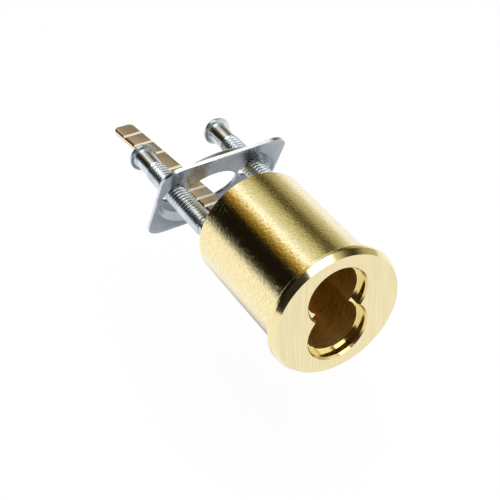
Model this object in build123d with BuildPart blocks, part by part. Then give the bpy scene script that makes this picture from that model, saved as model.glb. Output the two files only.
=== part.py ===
"""Rim cylinder housing for an interchangeable core, with its clamp plate, screws and tailpiece.

The barrel's axis is Y and the front faces -Y. The origin is on the axis, in the plane where
the back of the flange seats on the door. The core socket stands along Z, pin lobe up.
"""
from build123d import *
import os
from math import atan2, cos, radians, sin, sqrt, tan

os.makedirs("parts", exist_ok=True)

# Housing: barrel and flange
barrel_d = 29.37
barrel_length = 34.4
rear_chamfer = 0.4
flange_d = 33.34
flange_thick = 2.8
face_chamfer_deep = 1.6
face_chamfer_wide = 0.75

# Core socket: two overlapping lobes, with a shallow counterbore for the core's collar
pin_lobe_z = 5.3
pin_lobe_r = 6.6
plug_lobe_z = -5.0
plug_lobe_r = 6.75
collar_ledge = 0.8
collar_depth = 2.5
mouth_chamfer_wide = 0.4
mouth_chamfer_deep = 0.55

# Pocket in the plug lobe's wall for the core's control lug
lug_pocket_depth = 16.2
lug_pocket_long = 5.0
lug_pocket_deep = 1.6
lug_pocket_low_angle = -50.0
lug_pocket_high_angle = 14.0

# Driver, its seat in the rear wall, and the boss that carries the tailpiece
running_gap = 0.08
end_play = 0.1
hub_d = 9.6
disc_d = 13.0
disc_thick = 1.9
seat_depth = 4.0
seat_web = 1.8
seat_chamfer = 0.3
boss_d = 8.4
boss_chamfer = 0.4
boss_past_pin = 2.5

# Retaining ring
ring_thick = 0.9
ring_groove_d = 14.3
ring_groove_wide = 1.05
ring_width = 1.25
ring_gap_angle = 56.0
ring_ear_d = 2.5
ring_ear_hole_d = 1.1

# How far the core has turned the driver, with all that it carries
driver_turn = 9.0

# Throw pins
throw_pin_d = 2.3
throw_pin_offset = 2.9
throw_pin_reach = 5.4
throw_pin_bury = 1.6
throw_pin_tip = 0.6
press_gap = 0.01

# Tailpiece and its cross pin
cross_pin_d = 1.7
cross_pin_gap = 0.05
cross_pin_from_rear = 2.4
tail_width = 5.8
tail_thick = 1.6
tail_length = 56.1
tail_edge = 0.5
tail_corner = 1.4
tail_swing = 6.8
tail_root = 2.0
tail_root_gap = 0.5
tail_slot_gap = 0.15
score_wide = 0.8
score_deep = 0.45
score_from_end = (5.2, 10.3, 15.8, 23.8, 34.3, 38.3, 41.8)

# Screws
screw_x = 10.65
screw_z = 1.3
screw_length = 50.8
screw_in_housing = 14.5
thread_d = 5.4
shank_d = 5.0
shank_length = 6.6
head_d = 7.32
head_height = 2.6
head_edge = 0.2
drive_slot_wide = 1.2
drive_slot_deep = 1.3
neck_d = 4.5
neck_from_tip = 15.7
neck_length = 2.3
point_chamfer = 0.8
tap_gap = 0.03
tap_spare = 1.6

# Clamp plate, which hangs loose on the screws and leans forward at the top
plate_width = 32.9
plate_height = 33.2
plate_thick = 0.8
plate_corner = 4.8
plate_from_rear = 17.1
plate_x = -0.6
plate_lean = 27.6
plate_turn = -2.5
dish_rim_d = 30.6
dish_floor_d = 28.0
dish_depth = 2.0
dish_bend_r = 0.6
plate_screw_hole_d = 7.1
plate_screw_hole_up = 0.15
plate_hole_d = 14.1
plate_hole_down = 3.1

# Places that follow from the sizes above
face_y = -flange_thick
barrel_r = barrel_d / 2
flange_r = flange_d / 2
seat_y = barrel_length - seat_depth
socket_floor_y = seat_y - seat_web
socket_depth = socket_floor_y - face_y
seat_r = disc_d / 2 + running_gap
disc_y = seat_y + end_play / 2
disc_end_y = disc_y + disc_thick
ring_groove_y = disc_end_y + end_play / 2
ring_y = ring_groove_y + (ring_groove_wide - ring_thick) / 2
ring_outer_r = ring_groove_d / 2 - press_gap
hub_y = socket_floor_y + end_play / 2
cross_pin_y = barrel_length + cross_pin_from_rear
boss_end_y = cross_pin_y + boss_past_pin
slot_floor_y = cross_pin_y - tail_root - tail_root_gap
screw_tip_y = barrel_length - screw_in_housing
head_seat_y = screw_tip_y + screw_length
screw_places = ((-screw_x, screw_z), (screw_x, screw_z))


def across(y: float) -> Plane:
    """Plane square to the barrel at depth y, facing the front, with its own y axis up."""
    return Plane.XZ.offset(-y)


def across_driver(y: float) -> Plane:
    """Plane square to the driver at depth y, facing the front, with its own x axis along the slot."""
    along_slot = (cos(radians(driver_turn)), 0, -sin(radians(driver_turn)))
    return Plane((0, y, plug_lobe_z), x_dir=along_slot, z_dir=(0, -1, 0))


# Housing
with BuildPart() as housing:
    with BuildSketch(Plane.XY):
        with BuildLine():
            Polyline(
                (0, face_y),
                (flange_r - face_chamfer_wide, face_y),
                (flange_r, face_y + face_chamfer_deep),
                (flange_r, 0),
                (barrel_r, 0),
                (barrel_r, barrel_length - rear_chamfer),
                (barrel_r - rear_chamfer, barrel_length),
                (0, barrel_length),
                close=True,
            )
        make_face()
    revolve(axis=Axis.Y)
    # the core socket and the counterbore for the core's collar
    for ledge, depth in ((0, socket_depth), (collar_ledge, collar_depth)):
        with BuildSketch(across(face_y)):
            with Locations((0, pin_lobe_z)):
                Circle(pin_lobe_r + ledge)
            with Locations((0, plug_lobe_z)):
                Circle(plug_lobe_r + ledge)
        extrude(amount=-depth, mode=Mode.SUBTRACT)
    # the mouth's chamfer, turned lobe by lobe
    for lobe_z, lobe_r in ((pin_lobe_z, pin_lobe_r), (plug_lobe_z, plug_lobe_r)):
        with BuildSketch(Plane.XY.offset(lobe_z)):
            with BuildLine():
                Polyline(
                    (0, face_y),
                    (lobe_r + collar_ledge + mouth_chamfer_wide, face_y),
                    (lobe_r + collar_ledge, face_y + mouth_chamfer_deep),
                    (0, face_y + mouth_chamfer_deep),
                    close=True,
                )
            make_face()
        revolve(axis=Axis((0, 0, lobe_z), (0, 1, 0)), mode=Mode.SUBTRACT)
    # the pocket that the core's control lug turns into
    with BuildSketch(across(face_y + lug_pocket_depth)):
        with Locations((0, plug_lobe_z)):
            Circle(plug_lobe_r + lug_pocket_deep)
        with BuildLine():
            centre = Vector(0, plug_lobe_z)
            low = PolarLine(centre, barrel_d, lug_pocket_low_angle)
            high = PolarLine(centre, barrel_d, lug_pocket_high_angle)
            Line(low @ 1, high @ 1)
        make_face(mode=Mode.INTERSECT)
    extrude(amount=-lug_pocket_long, mode=Mode.SUBTRACT)
    # the driver's hub bore, its seat and the retaining ring's groove
    with BuildSketch(Plane.XY.offset(plug_lobe_z)):
        with BuildLine():
            Polyline(
                (0, socket_floor_y),
                (hub_d / 2 + running_gap, socket_floor_y),
                (hub_d / 2 + running_gap, seat_y),
                (seat_r, seat_y),
                (seat_r, ring_groove_y),
                (ring_groove_d / 2, ring_groove_y),
                (ring_groove_d / 2, ring_groove_y + ring_groove_wide),
                (seat_r, ring_groove_y + ring_groove_wide),
                (seat_r, barrel_length - seat_chamfer),
                (seat_r + seat_chamfer, barrel_length),
                (0, barrel_length),
                close=True,
            )
        make_face()
    revolve(axis=Axis((0, 0, plug_lobe_z), (0, 1, 0)), mode=Mode.SUBTRACT)
    # the tapped holes for the screws
    with BuildSketch(across(barrel_length)):
        with Locations(*screw_places):
            Circle(thread_d / 2 + tap_gap)
    extrude(amount=screw_in_housing + tap_spare, mode=Mode.SUBTRACT)

# Retaining ring that keeps the driver in its seat
with BuildPart() as retaining_ring:
    with BuildSketch(across(ring_y)):
        with Locations((0, plug_lobe_z)):
            Circle(ring_outer_r)
            Circle(ring_outer_r - ring_width, mode=Mode.SUBTRACT)
        with BuildLine():
            centre = Vector(0, plug_lobe_z)
            left = PolarLine(centre, barrel_d, -90 - ring_gap_angle / 2)
            right = PolarLine(centre, barrel_d, -90 + ring_gap_angle / 2)
            Line(left @ 1, right @ 1)
        make_face(mode=Mode.SUBTRACT)
        with Locations((0, plug_lobe_z)):
            with PolarLocations(
                ring_outer_r - ring_ear_d / 2, 2, -90 - ring_gap_angle / 2, ring_gap_angle, endpoint=True
            ):
                Circle(ring_ear_d / 2)
                Circle(ring_ear_hole_d / 2, mode=Mode.SUBTRACT)
    extrude(amount=-ring_thick)

# Driver, which the core turns and which carries the tailpiece
driver_plane = across_driver(cross_pin_y)
cross_pin_plane = Plane(driver_plane.origin, x_dir=driver_plane.x_dir, z_dir=driver_plane.y_dir)
with BuildPart() as driver:
    with BuildSketch(Plane.XY.offset(plug_lobe_z)):
        with BuildLine():
            Polyline(
                (0, hub_y),
                (hub_d / 2, hub_y),
                (hub_d / 2, disc_y),
                (disc_d / 2, disc_y),
                (disc_d / 2, disc_end_y),
                (boss_d / 2, disc_end_y),
                (boss_d / 2, boss_end_y - boss_chamfer),
                (boss_d / 2 - boss_chamfer, boss_end_y),
                (0, boss_end_y),
                close=True,
            )
        make_face()
    revolve(axis=Axis((0, 0, plug_lobe_z), (0, 1, 0)))
    # the slot that the tailpiece swings in
    with BuildSketch(across_driver(slot_floor_y)):
        Rectangle(2 * boss_d, tail_thick + 2 * tail_slot_gap)
    extrude(amount=slot_floor_y - boss_end_y, mode=Mode.SUBTRACT)
    # the cross pin's hole
    with BuildSketch(cross_pin_plane):
        Circle(cross_pin_d / 2 + press_gap)
    extrude(amount=boss_d, both=True, mode=Mode.SUBTRACT)
    # the throw pins' sockets
    with BuildSketch(across_driver(hub_y)):
        with GridLocations(2 * throw_pin_offset, 1, 2, 1):
            Circle(throw_pin_d / 2 + press_gap)
    extrude(amount=-throw_pin_bury, mode=Mode.SUBTRACT)

# Throw pins, which enter the back of the core's plug
throw_pins = []
for side in (-1, 1):
    with BuildPart() as throw_pin:
        with BuildSketch(across_driver(hub_y + throw_pin_bury)):
            with Locations((side * throw_pin_offset, 0)):
                Circle(throw_pin_d / 2)
        extrude(amount=throw_pin_bury + throw_pin_reach)
        fillet(edges().group_by(Axis.Y)[0], throw_pin_tip)
    throw_pins.append(throw_pin.part)

# Tailpiece, scored so that it can be snapped to length
tail_plane = Plane((0, cross_pin_y, plug_lobe_z)).rotated((0, 0, tail_swing)).rotated((0, driver_turn, 0))
tail_along = Axis(tail_plane.origin, tail_plane.y_dir)
tail_up = Axis(tail_plane.origin, tail_plane.z_dir)
with BuildPart() as tailpiece:
    with BuildSketch(tail_plane.offset(-tail_thick / 2)):
        with Locations((0, (tail_length - tail_root) / 2)):
            Rectangle(tail_width, tail_length + tail_root)
    extrude(amount=tail_thick)
    fillet(edges().filter_by(tail_up).group_by(tail_along)[-1], tail_corner)
    fillet(faces().sort_by(tail_up)[-1].edges() + faces().sort_by(tail_up)[0].edges(), tail_edge)
    with BuildSketch(tail_plane):
        Circle(cross_pin_d / 2 + cross_pin_gap)
    extrude(amount=tail_thick, both=True, mode=Mode.SUBTRACT)
    # the score lines across the top
    with BuildSketch(Plane(
        tail_plane.from_local_coords((-tail_width, tail_length, tail_thick / 2)),
        x_dir=tail_plane.y_dir,
        z_dir=tail_plane.x_dir,
    )):
        for distance in score_from_end:
            with Locations((-distance, 0)):
                Trapezoid(score_wide, 2 * score_deep, 70, align=Align.CENTER, rotation=180)
    extrude(amount=2 * tail_width, mode=Mode.SUBTRACT)

# Cross pin that the tailpiece swings on, flush with the boss
with BuildPart() as tailpiece_pin:
    with BuildSketch(cross_pin_plane):
        Circle(cross_pin_d / 2)
    extrude(amount=sqrt(boss_d ** 2 - cross_pin_d ** 2) / 2, both=True)

# Screws, with a plain shank under the head and a neck to snap them at
screws = []
for x, z in screw_places:
    with BuildPart() as screw:
        with BuildSketch(Plane((x, screw_tip_y, z))):
            with BuildLine():
                Polyline(
                    (0, 0),
                    (thread_d / 2 - point_chamfer, 0),
                    (thread_d / 2, point_chamfer),
                    (thread_d / 2, neck_from_tip),
                    (neck_d / 2, neck_from_tip + (thread_d - neck_d) / 4),
                    (neck_d / 2, neck_from_tip + neck_length - (thread_d - neck_d) / 4),
                    (thread_d / 2, neck_from_tip + neck_length),
                    (thread_d / 2, screw_length - shank_length),
                    (shank_d / 2, screw_length - shank_length + (thread_d - shank_d) / 2),
                    (shank_d / 2, screw_length),
                    (head_d / 2, screw_length),
                    (head_d / 2, screw_length + head_edge),
                )
                EllipticalCenterArc(
                    (0, screw_length + head_edge), head_d / 2, head_height - head_edge, arc_size=90
                )
                Line((0, screw_length + head_height), (0, 0))
            make_face()
        revolve(axis=Axis((x, 0, z), (0, 1, 0)))
        with BuildSketch(across(head_seat_y + head_height)):
            with Locations((x, z)):
                Rectangle(drive_slot_wide, 2 * head_d)
        extrude(amount=drive_slot_deep, mode=Mode.SUBTRACT)
    screws.append(screw.part)

# Clamp plate: a square of sheet with a round dish pressed towards the rear
lean = radians(plate_lean)
turn = radians(plate_turn)
floor_middle = dish_depth + plate_thick / 2
plate_z = screw_z - plate_screw_hole_up * cos(lean) - floor_middle * sin(lean)
plate_plane = Plane(
    (plate_x, barrel_length + plate_from_rear, plate_z),
    x_dir=(cos(turn), sin(turn), 0),
    z_dir=(sin(turn) * cos(lean), -cos(turn) * cos(lean), -sin(lean)),
)
wall_angle = atan2(dish_depth, (dish_rim_d - dish_floor_d) / 2)
bend_shift = plate_thick * tan(wall_angle / 2)
bend_reach = (dish_bend_r + plate_thick) * tan(wall_angle / 2) + bend_shift / 4
profile_plane = Plane(plate_plane.origin, x_dir=plate_plane.x_dir, z_dir=plate_plane.y_dir)
with BuildPart() as clamp_plate:
    with BuildSketch(plate_plane):
        RectangleRounded(plate_width, plate_height, plate_corner)
        Circle(dish_rim_d / 2 + bend_reach, mode=Mode.SUBTRACT)
    extrude(amount=-plate_thick)
    # the dish, turned from the sheet's bent section
    with BuildSketch(profile_plane):
        with BuildLine():
            front = FilletPolyline(
                (0, dish_depth),
                (dish_floor_d / 2, dish_depth),
                (dish_rim_d / 2, 0),
                (dish_rim_d / 2 + bend_reach, 0),
                radius=(dish_bend_r, dish_bend_r + plate_thick),
            )
            back = FilletPolyline(
                (0, dish_depth + plate_thick),
                (dish_floor_d / 2 + bend_shift, dish_depth + plate_thick),
                (dish_rim_d / 2 + bend_shift, plate_thick),
                (dish_rim_d / 2 + bend_reach, plate_thick),
                radius=(dish_bend_r + plate_thick, dish_bend_r),
            )
            Line(front @ 0, back @ 0)
            Line(front @ 1, back @ 1)
        make_face()
    revolve(axis=Axis(plate_plane.origin, plate_plane.z_dir))
    # the middle hole and the screw holes
    with BuildSketch(plate_plane):
        with Locations((0, plate_screw_hole_up - plate_hole_down)):
            Circle(plate_hole_d / 2)
        with Locations((0, plate_screw_hole_up)):
            with GridLocations(2 * screw_x, 1, 2, 1):
                Circle(plate_screw_hole_d / 2)
    extrude(amount=-2 * floor_middle, mode=Mode.SUBTRACT)

pieces = {
    "housing": housing.part,
    "retaining_ring": retaining_ring.part,
    "driver": driver.part,
    "throw_pin_left": throw_pins[0],
    "throw_pin_right": throw_pins[1],
    "tailpiece": tailpiece.part,
    "tailpiece_pin": tailpiece_pin.part,
    "screw_left": screws[0],
    "screw_right": screws[1],
    "clamp_plate": clamp_plate.part,
}
for name, piece in pieces.items():
    piece.label = name
    export_step(piece, f"parts/{name}.step")
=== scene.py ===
import logging
import math
from dataclasses import dataclass, field
from enum import Enum
from typing import Callable, Sequence

import bpy
from mathutils import Matrix, Vector


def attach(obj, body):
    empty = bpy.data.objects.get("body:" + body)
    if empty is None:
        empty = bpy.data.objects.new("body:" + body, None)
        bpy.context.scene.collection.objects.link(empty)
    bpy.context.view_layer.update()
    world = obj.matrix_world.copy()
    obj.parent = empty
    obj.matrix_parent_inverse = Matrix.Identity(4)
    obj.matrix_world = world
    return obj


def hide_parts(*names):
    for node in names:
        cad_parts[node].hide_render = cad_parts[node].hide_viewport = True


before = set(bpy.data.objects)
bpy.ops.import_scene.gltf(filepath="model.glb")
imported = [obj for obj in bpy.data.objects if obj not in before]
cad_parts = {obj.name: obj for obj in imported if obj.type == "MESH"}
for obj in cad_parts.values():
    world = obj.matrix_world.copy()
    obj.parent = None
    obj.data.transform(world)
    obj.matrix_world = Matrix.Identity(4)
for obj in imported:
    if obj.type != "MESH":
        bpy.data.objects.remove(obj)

LOG = logging.getLogger("rim_cylinder")
MM = 0.001
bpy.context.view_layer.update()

OVERSHOOT = 1.0
"""How far a cutter reaches past the surface that it cuts, in mm."""

TOOL_SPAN = 12.0
"""Length of a cutter that goes right across a small piece, in mm."""

SAME_POINT = 0.0000005
"""Vertices closer than this, in metres, become one."""

SCREW_ACROSS = 10.65
SCREW_UP = 1.3
PLUG_Z = -5.0
"""Places of the screws' axes and of the plug lobe's axis, in mm."""

Point = tuple[float, float]
Colour = tuple[float, float, float]

EdgeTest = Callable[[Vector, Vector], bool]
"""Takes an edge's two ends, in mm."""

FaceTest = Callable[[Vector, Vector], bool]
"""Takes a face's middle, in mm, and its normal."""


class Solver(Enum):
    """What the boolean modifier does with a second solid."""

    CUT = "DIFFERENCE"
    KEEP = "INTERSECT"


class Term:
    """A number in a shader, written with Python's own operators."""

    def __init__(self, graph: "Graph", value: object) -> None:
        """Hold a node's output socket or a plain number, for one graph."""
        self.graph = graph
        self.value = value

    def _math(self, operation: str, *others: object, clamp: bool = False) -> "Term":
        """Add one Math node.

        Args:
            operation: The node's operation name.
            others: The further inputs, terms or numbers.
            clamp: Whether the result is held between 0 and 1.

        Returns:
            The node's result.
        """
        settings = {"operation": operation, "use_clamp": clamp}
        node = self.graph.node("ShaderNodeMath", settings, dict(enumerate((self, *others))))
        return Term(self.graph, node.outputs[0])

    def __add__(self, other: object) -> "Term":
        """Sum."""
        return self._math("ADD", other)

    def __sub__(self, other: object) -> "Term":
        """Difference."""
        return self._math("SUBTRACT", other)

    def __rsub__(self, other: object) -> "Term":
        """Difference with the term on the right."""
        return Term(self.graph, other)._math("SUBTRACT", self)

    def __mul__(self, other: object) -> "Term":
        """Product."""
        return self._math("MULTIPLY", other)

    def __truediv__(self, other: object) -> "Term":
        """Quotient."""
        return self._math("DIVIDE", other)

    def __pow__(self, other: object) -> "Term":
        """Power."""
        return self._math("POWER", other)

    def clamped(self) -> "Term":
        """Hold between 0 and 1."""
        return self._math("ADD", 0.0, clamp=True)

    def bearing(self, other: object) -> "Term":
        """Angle whose tangent is this over the other, in radians."""
        return self._math("ARCTAN2", other)

    def ramp(self, low: float, high: float) -> "Term":
        """Smooth step from 0 at low to 1 at high.

        Args:
            low: The value that gives 0.
            high: The value that gives 1.

        Returns:
            The stepped value.
        """
        node = self.graph.node(
            "ShaderNodeMapRange",
            {"interpolation_type": "SMOOTHSTEP"},
            {0: self, 1: low, 2: high, 3: 0.0, 4: 1.0},
        )
        return Term(self.graph, node.outputs[0])


class Graph:
    """A node tree, of a material or of the world."""

    def __init__(self, tree: bpy.types.NodeTree) -> None:
        """Hold the node tree to build in."""
        self.tree = tree

    def node(self, kind: str, settings: dict | None = None, inputs: dict | None = None) -> bpy.types.Node:
        """Add a node, set it and link what feeds it.

        Args:
            kind: Blender's node type.
            settings: Properties by name.
            inputs: Sockets by name or number, with terms, sockets or plain values.

        Returns:
            The node.
        """
        made = self.tree.nodes.new(kind)
        for key, value in (settings or {}).items():
            setattr(made, key, value)
        for key, value in (inputs or {}).items():
            self.feed(made.inputs[key], value)
        return made

    def feed(self, socket: bpy.types.NodeSocket, value: object) -> None:
        """Link or set one input.

        Args:
            socket: The input.
            value: A term, a socket or a plain value.
        """
        if isinstance(value, Term):
            value = value.value
        if isinstance(value, bpy.types.NodeSocket):
            self.tree.links.new(value, socket)
        else:
            socket.default_value = value

    def place(self, kind: str = "Object") -> tuple[Term, Term, Term]:
        """Split the coordinates.

        Args:
            kind: Object for a material, Generated for the world's directions.

        Returns:
            x, y and z, for a material in metres.
        """
        coords = self.node("ShaderNodeTexCoord")
        split = self.node("ShaderNodeSeparateXYZ", None, {0: coords.outputs[kind]})
        return tuple(Term(self, out) for out in split.outputs)

    def mirrored_rays(self) -> Term:
        """Give 1 for glossy and transmission rays and 0 for the rest."""
        rays = self.node("ShaderNodeLightPath").outputs
        return (Term(self, rays["Is Glossy Ray"]) + Term(self, rays["Is Transmission Ray"])).clamped()

    def seen_rays(self) -> Term:
        """Give 1 for camera, glossy and transmission rays and 0 for the rest."""
        rays = self.node("ShaderNodeLightPath").outputs
        return (Term(self, rays["Is Camera Ray"]) + self.mirrored_rays()).clamped()

    def ramp(self, where: Term, stops: Sequence[tuple[float, Colour]]) -> bpy.types.NodeSocket:
        """Colour a number.

        Args:
            where: The number, 0 to 1.
            stops: Places from 0 to 1 with their colours.

        Returns:
            The colour's socket.
        """
        made = self.node("ShaderNodeValToRGB", None, {0: where})
        band = made.color_ramp.elements
        band[0].position, band[0].color = stops[0][0], (*stops[0][1], 1.0)
        band[1].position, band[1].color = stops[-1][0], (*stops[-1][1], 1.0)
        for place, colour in stops[1:-1]:
            band.new(place).color = (*colour, 1.0)
        return made.outputs[0]

    def grain(self, x: object, y: object, z: object, detail: float = 2.0, rough: float = 0.55) -> Term:
        """Noise at a place of its own scale.

        Args:
            x: First coordinate, in grains.
            y: Second coordinate, in grains.
            z: Third coordinate, in grains.
            detail: Octaves of the noise.
            rough: How strong the finer octaves are.

        Returns:
            Noise round 0.5.
        """
        where = self.node("ShaderNodeCombineXYZ", None, {0: x, 1: y, 2: z})
        noise = self.node(
            "ShaderNodeTexNoise",
            {"noise_dimensions": "3D"},
            {"Vector": where.outputs[0], "Scale": 1.0, "Detail": detail, "Roughness": rough},
        )
        return Term(self, noise.outputs[0])

    def blend(self, share: object, first: Colour, second: Colour) -> bpy.types.NodeSocket:
        """Mix two colours.

        Args:
            share: How much of the second colour.
            first: Colour at 0.
            second: Colour at 1.

        Returns:
            The mixed colour's socket.
        """
        mix = self.node("ShaderNodeMix", {"data_type": "RGBA"})
        self.feed(mix.inputs[0], share)
        for socket, colour in ((mix.inputs[6], first), (mix.inputs[7], second)):
            self.feed(socket, colour if isinstance(colour, bpy.types.NodeSocket) else (*colour, 1.0))
        return mix.outputs[2]

    def relief(self, height: Term, strength: float, depth: float) -> bpy.types.NodeSocket:
        """Turn a height of 0 to 1, where 1 is as high as the depth in metres, into a bumped normal."""
        bump = self.node("ShaderNodeBump", None, {"Strength": strength, "Distance": depth, "Height": height})
        return bump.outputs[0]


class Paint(Graph):
    """One material and the nodes in it."""

    def __init__(self, name: str) -> None:
        """Start a material with a Principled shader.

        Args:
            name: The finish's name.
        """
        self.material = bpy.data.materials.new(name)
        self.material.use_nodes = True
        super().__init__(self.material.node_tree)
        self.shader = self.tree.nodes["Principled BSDF"]

    def put(self, name: str, value: object) -> None:
        """Feed the shader's input of that name."""
        self.feed(self.shader.inputs[name], value)


@dataclass(frozen=True)
class Metal:
    """A plain metal finish."""

    name: str
    colour: Colour
    rough: float

    def paint(self) -> Paint:
        """Make the material.

        Returns:
            The material's paint, ready for more nodes.
        """
        paint = Paint(self.name)
        paint.put("Base Color", (*self.colour, 1.0))
        paint.put("Metallic", 1.0)
        paint.put("Roughness", self.rough)
        return paint

    def material(self) -> bpy.types.Material:
        """Make the Blender material."""
        return self.paint().material


@dataclass(frozen=True)
class TurnedMetal(Metal):
    """Metal with fine turning marks round the Y axis, and finer streaks in its colour."""

    marks_across: float = 3600.0
    marks_along: float = 1300.0
    depth: float = 0.00006
    strength: float = 1.0
    streaks_across: float = 2.2
    streaks_along: float = 0.7
    streak_edges: Point = (0.36, 0.52)
    darkening: Colour = (0.22, 0.242, 0.308)

    def material(self) -> bpy.types.Material:
        """Make the material with its turning marks.

        Returns:
            The material.
        """
        paint = self.paint()
        x, y, z = paint.place()
        marks = paint.grain(x * self.marks_along, y * self.marks_across, z * self.marks_along)
        along = self.marks_along * self.streaks_along
        across = self.marks_across * self.streaks_across
        streaks = paint.grain(x * along, y * across, z * along)
        dark = tuple(part * (1 - loss) for part, loss in zip(self.colour, self.darkening))
        paint.put("Base Color", paint.blend(streaks.ramp(*self.streak_edges), dark, self.colour))
        paint.put("Normal", paint.relief(marks, self.strength, self.depth))
        return paint.material


@dataclass(frozen=True)
class BrushedMetal(Metal):
    """Metal brushed along Z, as on the front face."""

    lines_across: float = 3000.0
    lines_deep: float = 10.0
    lines_along: float = 70.0
    fineness: float = 0.6
    depth: float = 0.00002
    strength: float = 0.6
    tint_spread: float = 0.1
    tint_edges: Point = (0.35, 0.65)

    def material(self) -> bpy.types.Material:
        """Make the material with its brush lines.

        Returns:
            The material.
        """
        paint = self.paint()
        x, y, z = paint.place()
        place = (x * self.lines_across, y * self.lines_deep, z * self.lines_along)
        lines = paint.grain(*place, rough=self.fineness)
        dark = tuple(part * (1 - self.tint_spread) for part in self.colour)
        paint.put("Base Color", paint.blend(lines.ramp(*self.tint_edges), dark, self.colour))
        paint.put("Normal", paint.relief(lines, self.strength, self.depth))
        return paint.material


@dataclass(frozen=True)
class ZincPlate(Metal):
    """Bright zinc plating, slightly uneven."""

    shade: Colour = (0.5, 0.54, 0.56)
    strength: float = 0.25
    depth: float = 0.00002
    spots: float = 700.0
    clouds: float = 180.0
    cloud_edges: Point = (0.35, 0.7)
    rough_spread: float = 0.15
    octaves: float = 3.0
    fineness: float = 0.6

    def material(self) -> bpy.types.Material:
        """Make the uneven plating.

        Returns:
            The material.
        """
        paint = self.paint()
        place = paint.place()
        cloud = paint.grain(*(c * self.clouds for c in place), self.octaves)
        spots = paint.grain(*(c * self.spots for c in place), self.octaves, self.fineness)
        paint.put("Base Color", paint.blend(cloud.ramp(*self.cloud_edges), self.colour, self.shade))
        paint.put("Roughness", (cloud - 0.5) * self.rough_spread + self.rough)
        paint.put("Normal", paint.relief(spots, self.strength, self.depth))
        return paint.material


BARREL = TurnedMetal("satin_brass_turned", (0.93, 0.8, 0.43), 0.1)
BRIGHT = Metal("brass_bright_cut", (0.86, 0.74, 0.41), 0.14)
FACE = BrushedMetal("brass_brushed_face", (0.86, 0.745, 0.43), 0.26)
BORED = TurnedMetal(
    "brass_bored", (0.9, 0.67, 0.25), 0.4, marks_across=900.0, marks_along=600.0, depth=0.00004, strength=0.6
)
MOUTH = Metal("brass_mouth_chamfer", (0.78, 0.6, 0.25), 0.24)
BAR = BrushedMetal("dull_brass_bar", (0.76, 0.6, 0.46), 0.4, lines_across=1500.0)
# painted highlight: the bar's sheared sides are painted paler than the bar, for the light that they catch
BAR_SIDE_HIGHLIGHT = Metal("brass_bar_sheared_side_highlight", (0.9, 0.76, 0.55), 0.35)
# painted dark reflection: the bar's edge roundings are painted near-black brown
BAR_EDGE_DARK_REFLECTION = Metal("brass_bar_edge_dark_reflection", (0.2, 0.13, 0.07), 0.45)
# painted highlight: the walls of the score lines are painted pale
SCORE_HIGHLIGHT = Metal("brass_score_line_highlight", (0.97, 0.88, 0.66), 0.35)
SCREW_ZINC = ZincPlate("zinc_bright_screw", (0.7, 0.74, 0.76), 0.24)
SHEET_ZINC = ZincPlate(
    "zinc_plated_sheet", (0.45, 0.495, 0.515), 0.26, shade=(0.37, 0.41, 0.43), strength=0.1
)
# painted highlight: the sheet's cut edge and rounded corners are painted paler than the sheet
SHEET_EDGE_HIGHLIGHT = ZincPlate("zinc_sheet_edge_highlight", (0.68, 0.72, 0.74), 0.3, shade=(0.55, 0.59, 0.61), strength=0.1)
STEEL = Metal("ground_steel", (0.6, 0.6, 0.6), 0.25)
SPRING = Metal("spring_steel_grey", (0.2, 0.2, 0.21), 0.4)


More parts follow.
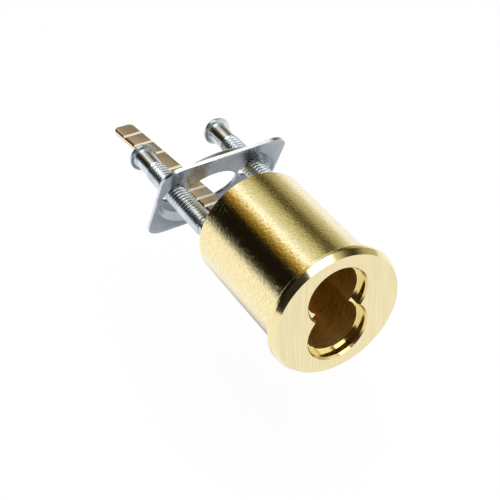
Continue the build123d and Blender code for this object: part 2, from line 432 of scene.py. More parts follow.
class Bench:
    """The hand tools that every piece is made with."""

    @staticmethod
    def clear() -> None:
        """Leave edit mode and deselect everything."""
        if bpy.context.object and bpy.context.object.mode != "OBJECT":
            bpy.ops.object.mode_set(mode="OBJECT")
        bpy.ops.object.select_all(action="DESELECT")

    @staticmethod
    def take(piece: bpy.types.Object) -> None:
        """Select one piece alone.

        Args:
            piece: The object to work on.
        """
        Bench.clear()
        bpy.context.view_layer.objects.active = piece
        piece.select_set(True)

    @staticmethod
    def open_mesh(piece: bpy.types.Object) -> None:
        """Enter edit mode with the whole mesh selected.

        Args:
            piece: The object to edit.
        """
        Bench.take(piece)
        bpy.ops.object.mode_set(mode="EDIT")
        bpy.ops.mesh.select_all(action="SELECT")

    @staticmethod
    def close_mesh() -> None:
        """Turn the open mesh's faces outwards and leave edit mode."""
        bpy.ops.mesh.select_all(action="SELECT")
        bpy.ops.mesh.normals_make_consistent(inside=False)
        bpy.ops.object.mode_set(mode="OBJECT")

    @staticmethod
    def fix(piece: bpy.types.Object) -> bpy.types.Object:
        """Move the object's own turn, size and place into its mesh.

        Args:
            piece: The object.

        Returns:
            The same object.
        """
        Bench.take(piece)
        bpy.ops.object.transform_apply(location=True, rotation=True, scale=True)
        return piece

    @staticmethod
    def line(name: str, points: Sequence[Point]) -> bpy.types.Object:
        """Draw a chain of points in the XZ plane by extruding one vertex.

        Args:
            name: The object's name.
            points: Distance from the axis and height, in mm.

        Returns:
            The object, still a bare line.
        """
        Bench.clear()
        bpy.ops.mesh.primitive_plane_add(size=MM, location=(0, 0, 0))
        piece = bpy.context.object
        piece.name = name
        Bench.open_mesh(piece)
        bpy.ops.mesh.merge(type="CENTER")
        start = points[0]
        bpy.ops.transform.translate(value=(start[0] * MM, 0, start[1] * MM))
        for here, there in zip(points, points[1:]):
            step = ((there[0] - here[0]) * MM, 0, (there[1] - here[1]) * MM)
            bpy.ops.mesh.extrude_region_move(TRANSFORM_OT_translate={"value": step})
        bpy.ops.object.mode_set(mode="OBJECT")
        return piece

    @staticmethod
    def turned(
        name: str, points: Sequence[Point], steps: int, centre: Point = (0, 0)
    ) -> bpy.types.Object:
        """Turn a section about an axis along Y.

        Args:
            name: The object's name.
            points: Radius and depth along Y, in mm, from the axis and back to it.
            steps: Facets round the axis.
            centre: The axis's X and Z, in mm.

        Returns:
            The closed turned piece.
        """
        piece = Bench.line(name, points)
        Bench.open_mesh(piece)
        bpy.ops.mesh.spin(steps=steps, angle=math.tau, center=(0, 0, 0), axis=(0, 0, 1))
        bpy.ops.mesh.select_all(action="SELECT")
        bpy.ops.mesh.remove_doubles(threshold=SAME_POINT)
        Bench.close_mesh()
        piece.rotation_euler = (-math.pi / 2, 0, 0)
        piece.location = (centre[0] * MM, 0, centre[1] * MM)
        return Bench.fix(piece)

    @staticmethod
    def block(name: str, size: Sequence[float], middle: Sequence[float]) -> bpy.types.Object:
        """Add a box.

        Args:
            name: The object's name.
            size: Length along each axis, in mm.
            middle: Its middle, in mm.

        Returns:
            The box.
        """
        Bench.clear()
        bpy.ops.mesh.primitive_cube_add(size=MM, location=[c * MM for c in middle], scale=tuple(size))
        piece = bpy.context.object
        piece.name = name
        return Bench.fix(piece)

    @staticmethod
    def round_edges(
        piece: bpy.types.Object, width: float, segments: int, test: EdgeTest
    ) -> bpy.types.Object:
        """Bevel the edges that a test names.

        Args:
            piece: The piece.
            width: The bevel's width, in mm.
            segments: Facets across the rounding.
            test: Says whether an edge is rounded.

        Returns:
            The same piece.
        """
        Bench.take(piece)
        bpy.context.tool_settings.mesh_select_mode = (False, True, False)
        mesh = piece.data
        for part in (*mesh.vertices, *mesh.polygons):
            part.select = False
        for edge in mesh.edges:
            first, second = (mesh.vertices[v].co / MM for v in edge.vertices)
            edge.select = test(first, second)
        bpy.ops.object.mode_set(mode="EDIT")
        bpy.ops.mesh.bevel(offset=width * MM, segments=segments)
        bpy.ops.object.mode_set(mode="OBJECT")
        bpy.context.tool_settings.mesh_select_mode = (True, False, False)
        return piece

    @staticmethod
    def combine(piece: bpy.types.Object, tool: bpy.types.Object, how: Solver) -> bpy.types.Object:
        """Cut away another solid, or keep what both share; the other is used up.

        Args:
            piece: The solid worked on.
            tool: The other solid.
            how: The kind of boolean.

        Returns:
            The changed solid.
        """
        Bench.take(piece)
        step = piece.modifiers.new("Combine", "BOOLEAN")
        step.operation = how.value
        step.solver = "EXACT"
        step.object = tool
        bpy.ops.object.modifier_apply(modifier=step.name)
        bpy.data.objects.remove(tool)
        return piece

    @staticmethod
    def soften(piece: bpy.types.Object, width: float, angle: float, segments: int) -> None:
        """Round every sharp edge a little.

        Args:
            piece: The piece.
            width: The bevel's width, in mm.
            angle: Edges sharper than this, in degrees, are rounded.
            segments: Facets across the rounding.
        """
        Bench.take(piece)
        step = piece.modifiers.new("Soften", "BEVEL")
        step.width = width * MM
        step.segments = segments
        step.limit_method = "ANGLE"
        step.angle_limit = math.radians(angle)
        bpy.ops.object.modifier_apply(modifier=step.name)

    @staticmethod
    def shade(piece: bpy.types.Object, angle: float) -> None:
        """Shade smooth, but for edges sharper than the angle in degrees."""
        Bench.take(piece)
        bpy.ops.object.shade_smooth_by_angle(angle=math.radians(angle))

    @staticmethod
    def coat(
        piece: bpy.types.Object,
        main: Metal,
        others: Sequence[tuple[Metal, FaceTest]] = (),
    ) -> None:
        """Give a piece its finishes.

        Args:
            piece: The piece.
            main: The finish of every face that no test names.
            others: Further finishes, each with its test; the first that holds counts.
        """
        piece.data.materials.clear()
        for finish in (main, *(finish for finish, _ in others)):
            piece.data.materials.append(finish.material())
        tests = [test for _, test in others]
        for face in piece.data.polygons:
            middle = face.center / MM
            found = (number for number, test in enumerate(tests, 1) if test(middle, face.normal))
            face.material_index = next(found, 0)

    @staticmethod
    def seat(piece: bpy.types.Object, body: str, slot: str, *nodes: str) -> None:
        """Let a piece stand for its CAD nodes and ride on their body.

        Args:
            piece: The finished piece.
            body: The CAD body that it moves with.
            slot: The record's material slot; not used.
            nodes: The CAD nodes that it replaces.
        """
        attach(piece, body)
        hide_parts(*nodes)
        LOG.info("%s: %d faces", piece.name, len(piece.data.polygons))


def rounded(points: Sequence[Point], radii: dict[int, float], steps: int = 5) -> list[Point]:
    """Round the corners of a section.

    Args:
        points: The section's corners.
        radii: Radius by the corner's number.
        steps: Facets in each rounding.

    Returns:
        The section with arcs at those corners.
    """
    done: list[Point] = []
    for number, here in enumerate(points):
        radius = radii.get(number, 0.0)
        if not radius:
            done.append(here)
            continue
        corner = Vector(here)
        back = (Vector(points[number - 1]) - corner).normalized()
        ahead = (Vector(points[number + 1]) - corner).normalized()
        half = back.angle(ahead) / 2
        reach = radius / math.tan(half)
        middle = corner + (back + ahead).normalized() * (radius / math.sin(half))
        first = corner + back * reach - middle
        last = corner + ahead * reach - middle
        turn = first.angle_signed(last)
        for step in range(steps + 1):
            spoke = first.copy()
            spoke.rotate(Matrix.Rotation(-turn * step / steps, 2))
            done.append(tuple(middle + spoke))
    return done


@dataclass
class Housing:
    """The turned brass body with the core socket."""

    barrel_r: float = 14.685
    barrel_long: float = 34.4
    rear_chamfer: float = 0.4
    flange_r: float = 16.67
    flange_thick: float = 2.8
    chamfer_deep: float = 1.6
    chamfer_wide: float = 0.75
    edge_radii: tuple[float, ...] = (0.05, 0.12, 0.3, 0.15, 0.12, 0.12)
    lobes: tuple[Point, Point] = ((5.3, 6.6), (PLUG_Z, 6.75))
    lobe_lead: float = 0.1
    socket_floor: float = 28.6
    ledge: float = 0.8
    ledge_deep: float = 2.5
    mouth_wide: float = 0.4
    mouth_deep: float = 0.55
    pocket_y: float = 13.4
    pocket_long: float = 5.0
    pocket_r: float = 8.35
    pocket_overlap: float = 1.5
    pocket_angles: Point = (-50.0, 14.0)
    hub_r: float = 4.88
    seat_r: float = 6.58
    seat_y: float = 30.4
    seat_chamfer: float = 0.3
    groove_y: float = 32.4
    groove_wide: float = 1.05
    groove_r: float = 7.15
    tap_r: float = 2.73
    tap_floor: float = 18.3

    def body(self) -> bpy.types.Object:
        """Turn the barrel and flange.

        Returns:
            The plain body.
        """
        face = -self.flange_thick
        section = [
            (0, face),
            (self.flange_r - self.chamfer_wide, face),
            (self.flange_r, face + self.chamfer_deep),
            (self.flange_r, 0),
            (self.barrel_r, 0),
            (self.barrel_r, self.barrel_long - self.rear_chamfer),
            (self.barrel_r - self.rear_chamfer, self.barrel_long),
            (0, self.barrel_long),
        ]
        section = rounded(section, dict(enumerate(self.edge_radii, 1)))
        return Bench.turned("housing_brass", section, steps=256)

    def socket_tool(self, lobe_z: float, lobe_r: float) -> bpy.types.Object:
        """Make the cutter of one lobe with its collar ledge and mouth chamfer.

        Args:
            lobe_z: Height of the lobe's axis.
            lobe_r: The lobe's radius.

        Returns:
            The cutter.
        """
        face = -self.flange_thick
        wide = lobe_r + self.ledge
        section = [
            (0, face - OVERSHOOT),
            (wide + self.mouth_wide, face - OVERSHOOT),
            (wide + self.mouth_wide, face),
            (wide, face + self.mouth_deep),
            (wide, face + self.ledge_deep),
            (lobe_r + self.lobe_lead, face + self.ledge_deep),
            (lobe_r, face + self.ledge_deep + self.lobe_lead),
            (lobe_r, self.socket_floor),
            (0, self.socket_floor),
        ]
        return Bench.turned("lobe_tool", section, steps=160, centre=(0, lobe_z))

    def rear_tool(self) -> bpy.types.Object:
        """Make the cutter of the hub bore, the driver's seat and the ring groove.

        Returns:
            The cutter.
        """
        behind = self.barrel_long + OVERSHOOT
        section = [
            (0, self.socket_floor - OVERSHOOT),
            (self.hub_r, self.socket_floor - OVERSHOOT),
            (self.hub_r, self.seat_y),
            (self.seat_r, self.seat_y),
            (self.seat_r, self.groove_y),
            (self.groove_r, self.groove_y),
            (self.groove_r, self.groove_y + self.groove_wide),
            (self.seat_r, self.groove_y + self.groove_wide),
            (self.seat_r, self.barrel_long - self.seat_chamfer),
            (self.seat_r + self.seat_chamfer, self.barrel_long),
            (self.seat_r + self.seat_chamfer, behind),
            (0, behind),
        ]
        return Bench.turned("rear_tool", section, steps=128, centre=(0, PLUG_Z))

    def tap_tool(self, side: int) -> bpy.types.Object:
        """Make the cutter of one tapped hole.

        Args:
            side: -1 for the left hole, 1 for the right one.

        Returns:
            The cutter.
        """
        behind = self.barrel_long + OVERSHOOT
        section = [(0, self.tap_floor), (self.tap_r, self.tap_floor), (self.tap_r, behind), (0, behind)]
        return Bench.turned("tap_tool", section, steps=48, centre=(side * SCREW_ACROSS, SCREW_UP))

    def pocket_tool(self) -> bpy.types.Object:
        """Make the cutter of the lug pocket in the plug lobe's wall.

        Returns:
            The cutter, a slice of a ring.
        """
        low, high = (math.radians(a) for a in self.pocket_angles)
        inner = self.lobes[1][1] - self.pocket_overlap
        thin = 0.001
        size = (self.pocket_r - inner, self.pocket_long, thin)
        middle = ((self.pocket_r + inner) / 2, self.pocket_y + self.pocket_long / 2, 0)
        piece = Bench.block("pocket_tool", size, middle)
        # the thin block becomes one flat outline, which is then swept round the lobe's axis
        Bench.open_mesh(piece)
        bpy.ops.mesh.delete(type="ONLY_FACE")
        bpy.ops.mesh.select_all(action="SELECT")
        bpy.ops.mesh.remove_doubles(threshold=0.01 * MM)
        bpy.ops.mesh.select_all(action="SELECT")
        bpy.ops.mesh.edge_face_add()
        bpy.ops.mesh.spin(steps=24, angle=low - high, center=(0, 0, 0), axis=(0, 1, 0))
        Bench.close_mesh()
        piece.rotation_euler = (0, -low, 0)
        piece.location = (0, 0, PLUG_Z * MM)
        return Bench.fix(piece)

    def finishes(self) -> list[tuple[Metal, FaceTest]]:
        """Tell the housing's surfaces apart by their place and slope.

        Returns:
            The finishes with their tests.
        """
        face = -self.flange_thick
        mouth_r, skin_r, flange_skin_r = 14.0, 14.2, 15.5
        facing, sloped = -0.9, -0.3
        face_skin, rear_skin = 0.1, 0.05
        mouth_end, collar_end, chamfer_end = -2.0, -0.2, -0.9

        def reach(middle: Vector) -> float:
            """Distance from the barrel's axis."""
            return math.hypot(middle.x, middle.z)

        def is_face(middle: Vector, normal: Vector) -> bool:
            """The flat front of the flange."""
            return normal.y < facing and middle.y < face + face_skin

        def is_mouth(middle: Vector, normal: Vector) -> bool:
            """The chamfer round the socket's mouth."""
            return normal.y < sloped and middle.y < mouth_end and reach(middle) < mouth_r

        def is_bright(middle: Vector, _: Vector) -> bool:
            """The flange's chamfer and the collar's counterbore."""
            outer = reach(middle) > flange_skin_r and middle.y < chamfer_end
            return outer or middle.y < collar_end and reach(middle) < mouth_r

        def is_barrel(middle: Vector, _: Vector) -> bool:
            """The outside of the barrel and its rear."""
            return reach(middle) > skin_r or middle.y > self.barrel_long - rear_skin

        return [(FACE, is_face), (MOUTH, is_mouth), (BRIGHT, is_bright), (BARREL, is_barrel)]

    def build(self) -> None:
        """Make, cut and dress the housing."""
        piece = self.body()
        tools = [self.socket_tool(*lobe) for lobe in self.lobes]
        tools += [self.pocket_tool(), self.rear_tool(), self.tap_tool(-1), self.tap_tool(1)]
        for tool in tools:
            Bench.combine(piece, tool, Solver.CUT)
        Bench.shade(piece, angle=25)
        Bench.coat(piece, BORED, self.finishes())
        Bench.seat(piece, "base", "satin_brass", "housing")


@dataclass
class Screw:
    """One clamp screw with its rolled thread and break-off neck."""

    side: int
    tip_y: float = 19.9
    length: float = 50.8
    crest_r: float = 2.7
    root_r: float = 2.2
    pitch: float = 1.058
    shank_r: float = 2.5
    shank_long: float = 6.6
    head_r: float = 3.66
    head_high: float = 2.6
    head_edge: float = 0.2
    tip_taper: Point = (0.5, 0.6)
    neck_from: float = 15.7
    neck_to: float = 18.0
    neck_r: float = 2.25
    neck_ease: float = 0.15
    shank_ease: float = 0.35
    under_head_r: float = 0.3
    rim_r: float = 0.12
    slot_wide: float = 1.2
    slot_deep: float = 1.3
    dome_steps: int = 12
    turn_steps: int = 40
    thread_start: float = 0.2
    thread_runout: float = 0.4
    ridge: tuple[Point, ...] = ((-0.3, 1.0), (0.0, 0.9), (0.88, 0.28), (1.0, 0.14))

    def core(self) -> bpy.types.Object:
        """Turn the head, the shank, the neck and the thread's root.

        Returns:
            The smooth core.
        """
        taper_wide, taper_long = self.tip_taper
        shank = self.length - self.shank_long
        section = [
            (0, 0),
            (self.root_r - taper_wide, 0),
            (self.root_r, taper_long),
            (self.root_r, self.neck_from),
            (self.neck_r, self.neck_from + self.neck_ease),
            (self.neck_r, self.neck_to - self.neck_ease),
            (self.root_r, self.neck_to),
            (self.root_r, shank),
            (self.shank_r, shank + self.shank_ease),
            (self.shank_r, self.length),
            (self.head_r, self.length),
            (self.head_r, self.length + self.head_high),
        ]
        # the last corner only shows the rounding at the rim which way the head goes on
        section = rounded(section, {9: self.under_head_r, 10: self.rim_r}, steps=4)[:-1]
        rim = self.length + self.head_edge
        dome = self.head_high - self.head_edge
        for step in range(self.dome_steps + 1):
            angle = math.radians(90 * step / self.dome_steps)
            section.append((self.head_r * math.cos(angle), rim + dome * math.sin(angle)))
        return Bench.turned("screw_zinc", section, steps=72)

    def thread(self, start: float, end: float) -> bpy.types.Object:
        """Wind one stretch of thread.

        Args:
            start: Its first end, from the screw's tip.
            end: Its last end.

        Returns:
            The ridge as a closed helix.
        """
        half = self.pitch / 2
        high = self.crest_r - self.root_r
        flank = [(self.root_r + rise * high, -share * half) for rise, share in self.ridge]
        piece = Bench.line("thread", flank + [(reach, -along) for reach, along in reversed(flank)])
        Bench.open_mesh(piece)
        bpy.ops.mesh.edge_face_add()
        bpy.ops.mesh.delete(type="ONLY_FACE")
        bpy.ops.object.mode_set(mode="OBJECT")
        step = piece.modifiers.new("Wind", "SCREW")
        step.axis = "Z"
        step.steps = self.turn_steps
        step.render_steps = self.turn_steps
        step.screw_offset = self.pitch * MM
        step.iterations = max(1, int((end - start) / self.pitch - 0.5))
        step.use_normal_calculate = True
        bpy.ops.object.modifier_apply(modifier=step.name)
        Bench.open_mesh(piece)
        bpy.ops.mesh.fill_holes(sides=2 * len(flank) + 2)
        bpy.ops.mesh.select_all(action="SELECT")
        bpy.ops.transform.translate(value=(0, 0, (start + half) * MM))
        Bench.close_mesh()
        piece.rotation_euler = (-math.pi / 2, 0, 0)
        return Bench.fix(piece)

    def build(self) -> None:
        """Make, slot, thread and dress the screw."""
        piece = self.core()
        top = self.length + self.head_high
        slot = Bench.block("slot_tool", (self.slot_wide, 2 * self.slot_deep, TOOL_SPAN), (0, top, 0))
        Bench.combine(piece, slot, Solver.CUT)
        shank = self.length - self.shank_long
        stretches = [
            self.thread(self.thread_start, self.neck_from),
            self.thread(self.neck_to, shank + self.thread_runout),
        ]
        Bench.take(piece)
        for stretch in stretches:
            stretch.select_set(True)
        bpy.ops.object.join()
        piece.location = (self.side * SCREW_ACROSS * MM, self.tip_y * MM, SCREW_UP * MM)
        Bench.fix(piece)
        Bench.shade(piece, angle=35)
        Bench.coat(piece, SCREW_ZINC)
        name = "screw_left" if self.side < 0 else "screw_right"
        piece.name = name + "_zinc"
        Bench.seat(piece, "base", "bright_zinc", name)


@dataclass
class Tailpiece:
    """The scored flat bar."""

    wide: float = 5.8
    thick: float = 1.6
    long: float = 56.1
    root: float = 2.0
    pin_y: float = 36.8
    hole_r: float = 0.9
    corner: float = 1.4
    edge: float = 0.5
    swing: float = 6.8
    driver_turn: float = 9.0
    score_wide: float = 0.9
    score_deep: float = 0.4
    scores: tuple[float, ...] = (5.2, 10.3, 15.8, 23.8, 34.3, 38.3, 41.8)

    def bar(self) -> bpy.types.Object:
        """Shape the bar and round its far corners and long edges.

        Returns:
            The bar about its pin, along Y.
        """
        size = (self.wide, self.long + self.root, self.thick)
        piece = Bench.block("tailpiece_brass", size, (0, (self.long - self.root) / 2, 0))

        def is_upright(first: Vector, second: Vector) -> bool:
            """An edge through the bar's thickness."""
            return abs(first.z - second.z) > self.thick / 2

        def is_far_corner(first: Vector, second: Vector) -> bool:
            """An upright edge at the bar's far end."""
            return min(first.y, second.y) > self.long / 2 and is_upright(first, second)

        def is_rim(first: Vector, second: Vector) -> bool:
            """An edge of the upper or the lower face."""
            return not is_upright(first, second)

        Bench.round_edges(piece, self.corner, segments=8, test=is_far_corner)
        return Bench.round_edges(piece, self.edge, segments=4, test=is_rim)

    def groove_tool(self, distance: float) -> bpy.types.Object:
        """Make the cutter of one score line.

        Args:
            distance: How far it is from the bar's end.

        Returns:
            A square rod on edge, flattened to the groove's section.
        """
        side = math.sqrt(2)
        piece = Bench.block("score_tool", (TOOL_SPAN, side, side), (0, 0, 0))
        piece.rotation_euler = (math.radians(45), 0, 0)
        Bench.fix(piece)
        piece.scale = (1, self.score_wide / 2, self.score_deep)
        piece.location = (0, (self.long - distance) * MM, self.thick / 2 * MM)
        return Bench.fix(piece)

    def finishes(self) -> list[tuple[Metal, FaceTest]]:
        """Tell apart the scores and sheared sides, painted as highlights, and the edges, painted as a dark
        reflection.

        Returns:
            The finishes with their tests.
        """
        side_slope, top_slope = 0.12, 0.98
        score_slope, score_up = 0.3, 0.5
        near_hole = 1.0

        def is_score(middle: Vector, normal: Vector) -> bool:
            """The sloping walls of a score line, which get a painted highlight."""
            sloping = abs(normal.y) > score_slope and normal.z > score_up
            offsets = (middle.y - self.long + distance for distance in self.scores)
            return sloping and any(abs(offset) < self.score_wide / 2 for offset in offsets)

        def is_edge(_: Vector, normal: Vector) -> bool:
            """The rounding of the upper edges, which gets a painted dark reflection."""
            return side_slope < normal.z < top_slope

        def is_side(middle: Vector, normal: Vector) -> bool:
            """The upright sheared sides, without the pin's hole, which get a painted highlight."""
            return abs(normal.z) <= side_slope and abs(middle.x) > near_hole

        return [(SCORE_HIGHLIGHT, is_score), (BAR_EDGE_DARK_REFLECTION, is_edge), (BAR_SIDE_HIGHLIGHT, is_side)]

    def build(self) -> None:
        """Make, score and dress the bar."""
        piece = self.bar()
        for distance in self.scores:
            Bench.combine(piece, self.groove_tool(distance), Solver.CUT)
        reach = self.thick / 2 + OVERSHOOT
        section = [(0, -reach), (self.hole_r, -reach), (self.hole_r, reach), (0, reach)]
        hole = Bench.turned("hole_tool", section, steps=32)
        hole.rotation_euler = (math.pi / 2, 0, 0)
        Bench.combine(piece, Bench.fix(hole), Solver.CUT)
        Bench.shade(piece, angle=35)
        Bench.coat(piece, BAR, self.finishes())
        turned = Matrix.Rotation(math.radians(self.driver_turn), 4, "Y")
        swung = Matrix.Rotation(math.radians(self.swing), 4, "Z")
        pin = Matrix.Translation(Vector((0, self.pin_y, PLUG_Z)) * MM)
        piece.matrix_world = pin @ turned @ swung
        Bench.fix(piece)
        Bench.seat(piece, "tail", "dull_brass", "tailpiece")


@dataclass
class ClampPlate:
    """The square of sheet with its pressed dish."""

    wide: float = 32.9
    high: float = 33.2
    thick: float = 0.8
    corner: float = 4.8
    middle: Point = (-0.6, 51.5)
    lean: float = 27.6
    turn: float = -2.5
    rim_r: float = 15.3
    floor_r: float = 14.0
    deep: float = 2.0
    bend: float = 0.6
    screw_hole_r: float = 3.55
    screw_up: float = 0.15
    hole_r: float = 7.05
    hole_down: float = 3.1
    sheet_r: float = 26.0
    edge_round: float = 0.25

    def sheet(self) -> bpy.types.Object:
        """Turn the dished sheet, wider than the plate.

        Returns:
            The round sheet, front towards -Y.
        """
        angle = math.atan2(self.deep, self.rim_r - self.floor_r)
        shift = self.thick * math.tan(angle / 2)
        section = [
            (0, self.deep),
            (self.floor_r, self.deep),
            (self.rim_r, 0),
            (self.sheet_r, 0),
            (self.sheet_r, self.thick),
            (self.rim_r + shift, self.thick),
            (self.floor_r + shift, self.deep + self.thick),
            (0, self.deep + self.thick),
        ]
        outer = self.bend + self.thick
        section = rounded(section, {1: self.bend, 2: outer, 5: self.bend, 6: outer}, steps=6)
        return Bench.turned("clamp_plate_zinc", section, steps=192)

    def outline(self) -> bpy.types.Object:
        """Make the rounded square that the sheet is cut to."""
        piece = Bench.block("outline_tool", (self.wide, TOOL_SPAN, self.high), (0, 0, 0))

        def is_corner(first: Vector, second: Vector) -> bool:
            """An edge through the cutter's depth."""
            return abs(first.y - second.y) > TOOL_SPAN / 2

        return Bench.round_edges(piece, self.corner, segments=12, test=is_corner)

    def place(self) -> Matrix:
        """Work out how the plate hangs and leans on the screws.

        Returns:
            The plate's place in the row frame, in metres.
        """
        lean, turn = math.radians(self.lean), math.radians(self.turn)
        rise = self.screw_up * math.cos(lean) + (self.deep + self.thick / 2) * math.sin(lean)
        where = Vector((*self.middle, SCREW_UP - rise)) * MM
        return Matrix.Translation(where) @ Matrix.Rotation(turn, 4, "Z") @ Matrix.Rotation(lean, 4, "X")

    def is_edge(self, middle: Vector, normal: Vector) -> bool:
        """Tell the sheet's cut edge, which gets a painted highlight, from its faces.

        Args:
            middle: The face's middle, in mm.
            normal: The face's normal.

        Returns:
            Whether the face is on the straight edges or the corners.
        """
        skin, flat_slope, corner_from = 0.3, 0.8, 17.5
        outside = max(abs(middle.x), abs(middle.z)) > self.wide / 2 - skin
        return outside or abs(normal.y) < flat_slope and math.hypot(middle.x, middle.z) > corner_from

    def build(self) -> None:
        """Make, punch and dress the plate."""
        piece = Bench.combine(self.sheet(), self.outline(), Solver.KEEP)
        holes = [(0.0, self.screw_up - self.hole_down, self.hole_r)]
        holes += [(side * SCREW_ACROSS, self.screw_up, self.screw_hole_r) for side in (-1, 1)]
        front, back = -2 * OVERSHOOT, TOOL_SPAN / 2
        for across, up, radius in holes:
            section = [(0, front), (radius, front), (radius, back), (0, back)]
            punch = Bench.turned("punch", section, steps=96, centre=(across, up))
            Bench.combine(piece, punch, Solver.CUT)
        Bench.soften(piece, self.edge_round, angle=50, segments=3)
        Bench.shade(piece, angle=35)
        Bench.coat(piece, SHEET_ZINC, [(SHEET_EDGE_HIGHLIGHT, self.is_edge)])
        piece.matrix_world = self.place()
        Bench.fix(piece)
        Bench.seat(piece, "plate", "plate_zinc", "clamp_plate")


@dataclass
class RearFittings:
    """The driver, its pins and the retaining ring, which keep their CAD solids."""

    finishes: dict[str, Metal] = field(default_factory=lambda: {
        "driver": BORED,
        "throw_pin_left": STEEL,
        "throw_pin_right": STEEL,
        "tailpiece_pin": STEEL,
        "retaining_ring": SPRING,
    })

    def build(self) -> None:
        """Dress the CAD nodes."""
        for name, finish in self.finishes.items():
            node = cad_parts[name]
            node.data.materials.clear()
            node.data.materials.append(finish.material())
            LOG.info("%s: dressed", name)


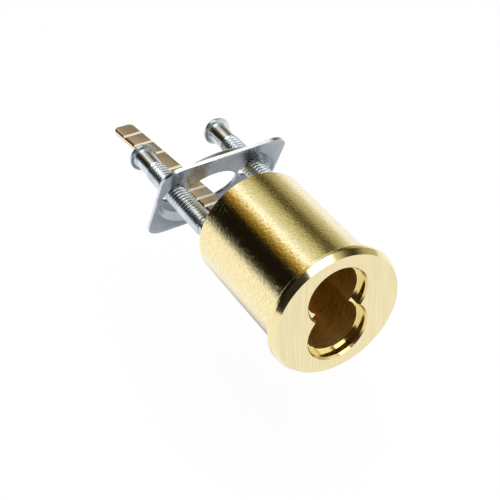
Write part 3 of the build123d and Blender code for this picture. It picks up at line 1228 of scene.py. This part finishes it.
@dataclass
class Studio:
    """The floor, the background, the lights and the camera."""

    camera_at: tuple[float, float, float] = (-122.327, -185.219, 204.649)
    camera_turn: tuple[float, float, float] = (49.7615, 1.5492, -30.2267)
    lens: float = 97.845
    sensor: float = 36.0
    sight: Point = (0.01, 20.0)
    floor_z: float = -60.0
    floor_size: float = 8.0
    floor_white: float = 0.9
    floor_rough: float = 0.9
    floor_share: float = 0.93
    floor_glow: Colour = (1.08, 1.09, 1.15)
    shade_at: Point = (16.0, 54.0)
    shade_r: float = 52.0
    shade_edges: Point = (0.0, 0.9)
    shade_strength: float = 0.6
    fill: float = 0.7
    white: Colour = (1.0, 1.0, 1.0)
    black: Colour = (0.0, 0.0, 0.0)
    front: Colour = (1.3, 1.35, 1.4)
    front_edges: Point = (0.2, 0.45)
    front_rise: Point = (0.0, 0.2)
    near: Colour = (0.02, 0.016, 0.01)
    near_way: tuple[float, float, float] = (-0.4, -0.61, 0.68)
    near_edges: Point = (0.6, 0.78)
    lamp_aim: tuple[float, float, float] = (0.0, 20.0, 0.0)
    screens: tuple[tuple[float, Colour], ...] = (
        (-101, (1.0, 1.0, 1.0)),
        (-96, (0.45, 0.42, 0.33)),
        (-89, (0.05, 0.04, 0.03)),
        (-76, (0.006, 0.004, 0.002)),
        (-39, (0.006, 0.004, 0.002)),
        (-29, (0.2, 0.13, 0.03)),
        (-18, (0.62, 0.43, 0.1)),
        (-11, (1.05, 0.95, 0.7)),
        (-5, (1.6, 1.7, 2.3)),
        (1, (1.05, 1.05, 1.1)),
        (12, (0.8, 0.82, 0.7)),
        (26, (0.66, 0.64, 0.42)),
        (39, (0.13, 0.11, 0.05)),
        (50, (0.02, 0.017, 0.005)),
        (58, (0.13, 0.11, 0.05)),
        (68, (0.46, 0.43, 0.24)),
        (78, (0.53, 0.49, 0.29)),
        (90, (0.6, 0.56, 0.36)),
        (100, (1.0, 1.0, 1.0)),
    )

    def floor(self) -> None:
        """Lay the pale floor.

        What mirrors it sees a glow, with a soft shade below the object.
        """
        Bench.clear()
        bpy.ops.mesh.primitive_plane_add(size=self.floor_size, location=(0, 0, self.floor_z * MM))
        floor = bpy.context.object
        floor.name = "floor"
        paint = Paint("floor_white")
        paint.put("Base Color", (*[self.floor_white] * 3, 1.0))
        paint.put("Roughness", self.floor_rough)
        x, y, _ = paint.place()
        middle_x, middle_y = (c * MM for c in self.shade_at)
        off = ((x - middle_x) ** 2.0 + (y - middle_y) ** 2.0) ** 0.5 / (self.shade_r * MM)
        shade = (1.0 - off).ramp(*self.shade_edges) * self.shade_strength
        glow = paint.blend(shade, self.floor_glow, self.black)
        colour = paint.blend(paint.mirrored_rays(), self.white, glow)
        light = paint.node("ShaderNodeEmission", None, {"Color": colour, "Strength": 1.0})
        mix = paint.node("ShaderNodeMixShader", None, {0: paint.seen_rays() * self.floor_share})
        paint.feed(mix.inputs[1], paint.shader.outputs[0])
        paint.feed(mix.inputs[2], light.outputs[0])
        paint.feed(paint.tree.nodes["Material Output"].inputs[0], mix.outputs[0])
        floor.data.materials.append(paint.material)

    def world(self) -> None:
        """Surround the object with white, and its reflections with light and dark screens.

        The screens stand round the barrel's axis. A bright one stands in front, and a dark
        one where the camera is.
        """
        world = bpy.data.worlds.new("studio")
        bpy.context.scene.world = world
        world.use_nodes = True
        graph = Graph(world.node_tree)
        x, y, z = graph.place("Generated")
        round_axis = x.bearing(z) / math.tau + 0.5
        stops = [(0.5 + degrees / 360, colour) for degrees, colour in self.screens]
        screens = graph.ramp(round_axis, stops)
        in_front = (0.0 - y).ramp(*self.front_edges) * z.ramp(*self.front_rise)
        screens = graph.blend(in_front, screens, self.front)
        way_x, way_y, way_z = self.near_way
        at_camera = (x * way_x + y * way_y + z * way_z).ramp(*self.near_edges)
        screens = graph.blend(at_camera, screens, self.near)
        back = graph.tree.nodes["Background"]
        graph.feed(back.inputs["Color"], graph.blend(graph.mirrored_rays(), self.white, screens))
        graph.feed(back.inputs["Strength"], graph.seen_rays() * (1 - self.fill) + self.fill)

    def lamp(self, name: str, at: Sequence[float], size: Point, power: float) -> None:
        """Hang a soft lamp that looks at the object.

        Args:
            name: The lamp's name.
            at: Its place, in mm.
            size: Its width and height, in mm.
            power: Its power, in watts.
        """
        Bench.clear()
        bpy.ops.object.light_add(type="AREA", location=[c * MM for c in at])
        lamp = bpy.context.object
        lamp.name = name
        lamp.data.shape = "RECTANGLE"
        lamp.data.size = size[0] * MM
        lamp.data.size_y = size[1] * MM
        lamp.data.energy = power
        aim = Vector(self.lamp_aim) * MM - Vector(at) * MM
        lamp.rotation_euler = aim.to_track_quat("-Z", "Y").to_euler()

    def camera(self) -> None:
        """Set the camera at the photograph's viewing angle."""
        Bench.clear()
        bpy.ops.object.camera_add(
            location=[c * MM for c in self.camera_at],
            rotation=[math.radians(a) for a in self.camera_turn],
        )
        camera = bpy.context.object
        camera.data.sensor_width = self.sensor
        camera.data.lens = self.lens
        camera.data.clip_start, camera.data.clip_end = self.sight
        bpy.context.scene.camera = camera

    def build(self) -> None:
        """Set up the whole studio."""
        bpy.context.scene.view_settings.view_transform = "Standard"
        self.world()
        self.floor()
        self.lamp("softbox_overhead", at=(-18, -120, 600), size=(420, 700), power=2.8)
        self.camera()
        LOG.info("studio set")


def main() -> None:
    """Build every piece in order and report it."""
    logging.basicConfig(level=logging.INFO, format="%(message)s")
    Housing().build()
    for side in (-1, 1):
        Screw(side).build()
    Tailpiece().build()
    ClampPlate().build()
    RearFittings().build()
    Studio().build()
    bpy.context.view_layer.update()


if __name__ == "__main__":
    main()
